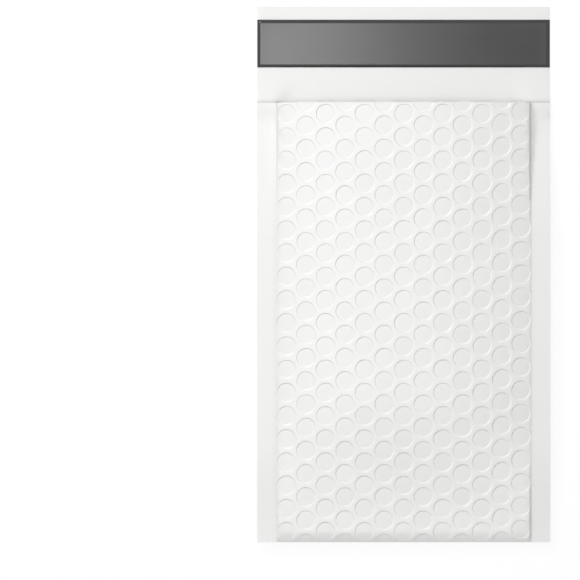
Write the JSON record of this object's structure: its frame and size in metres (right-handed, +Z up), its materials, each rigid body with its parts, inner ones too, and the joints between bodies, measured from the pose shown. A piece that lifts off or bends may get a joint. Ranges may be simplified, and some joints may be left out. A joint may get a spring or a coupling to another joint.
{
  "type": "padded envelope",
  "caption": "Flat white padded mailing envelope with an embossed bubble pattern, side seals, an open mouth and a peel-and-seal flap.",
  "frame": {"origin": "middle of the outline, on the table that the envelope lies on", "axes": "+Z up from the table and out of the front panel, +Y from the bottom fold to the flap's tip, X across the width"},
  "size_m": [0.152, 0.277, 0.0111],
  "materials": {
    "white_film": "opaque white film with a soft sheen",
    "bubble_film": "translucent bubble film",
    "hot_melt": "tacky hot-melt adhesive",
    "grey_liner": "smooth dark grey release film"
  },
  "bodies": {
    "root": {"outer_film": "white_film", "bubble_lining": "bubble_film", "adhesive_strip": "hot_melt", "release_liner": "grey_liner"}
  },
  "joints": []
}
